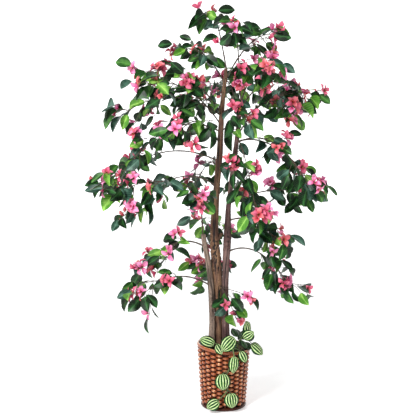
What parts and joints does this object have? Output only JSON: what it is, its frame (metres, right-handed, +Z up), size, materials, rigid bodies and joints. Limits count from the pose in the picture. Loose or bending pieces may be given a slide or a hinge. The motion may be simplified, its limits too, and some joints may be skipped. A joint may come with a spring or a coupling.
{
  "type": "artificial bougainvillea tree in a wicker basket",
  "caption": "Artificial bougainvillea tree with natural wood stems, arching silk leaf and blossom sprays, and striped vine leaves over a woven wicker basket that it stands in.",
  "frame": {"origin": "centre of the basket's flat underside, on the surface that it stands on", "axes": "+Z up along the stems, -Y the front with the striped vine, +X to the right seen from the front"},
  "size_m": [0.9579, 0.822, 1.5155],
  "materials": {
    "wicker": "stained and varnished reed, satin",
    "moss": "dry moss over a fill, matte",
    "bark": "natural bark, rough",
    "bough_wire": "wrapped wire, matte",
    "foliage": "silk leaf with a soft sheen",
    "bright_leaf": "young silk leaf with a soft sheen",
    "blossom": "silk bract, matte",
    "striped_leaf": "printed silk leaf with pale stripes"
  },
  "bodies": {
    "root": {"basket": "wicker", "moss_fill": "moss", "stem_left": "bark", "stem_middle": "bark", "stem_right": "bark", "bough_back_left_high": "bough_wire", "bough_back_left_low": "bough_wire", "bough_back_left_mid": "bough_wire", "bough_back_low": "bough_wire", "bough_back_right_mid": "bough_wire", "bough_front_left_high": "bough_wire", "bough_front_left_mid": "bough_wire", "bough_left_back_mid": "bough_wire", "bough_left_front_low": "bough_wire", "bough_left_low": "bough_wire", "bough_left_mid": "bough_wire", "bough_left_shoulder": "bough_wire", "bough_right_front_mid": "bough_wire", "bough_right_low": "bough_wire", "bough_right_mid": "bough_wire", "bough_right_mid_high": "bough_wire", "bough_right_shoulder": "bough_wire", "bough_upper_left": "bough_wire", "bough_upper_right": "bough_wire", "mass_back_high": "foliage", "mass_back_left_high": "foliage", "mass_back_left_low": "foliage", "mass_back_left_mid": "foliage", "mass_back_low": "foliage", "mass_back_mid": "foliage", "mass_back_right_high": "foliage", "mass_back_right_mid": "foliage", "mass_front_high": "foliage", "mass_front_left_high": "foliage", "mass_front_left_mid": "foliage", "mass_front_low": "foliage", "mass_front_mid": "foliage", "mass_front_mid_left": "foliage", "mass_front_right_high": "foliage", "mass_front_right_mid": "foliage", "mass_leader_left": "foliage", "mass_leader_right": "foliage", "mass_left_back_mid": "foliage", "mass_left_front_low": "foliage", "mass_left_low": "foliage", "mass_left_mid": "foliage", "mass_left_shoulder": "foliage", "mass_right_front_mid": "foliage", "mass_right_low": "foliage", "mass_right_mid": "foliage", "mass_right_mid_high": "foliage", "mass_right_shoulder": "foliage", "mass_top_left": "foliage", "mass_top_right": "foliage", "mass_upper_back_right": "foliage", "mass_upper_left": "foliage", "mass_upper_right": "foliage", "striped_leaves_left": "striped_leaf", "striped_leaves_right": "striped_leaf", "striped_vine": "striped_leaf"}
  },
  "joints": []
}
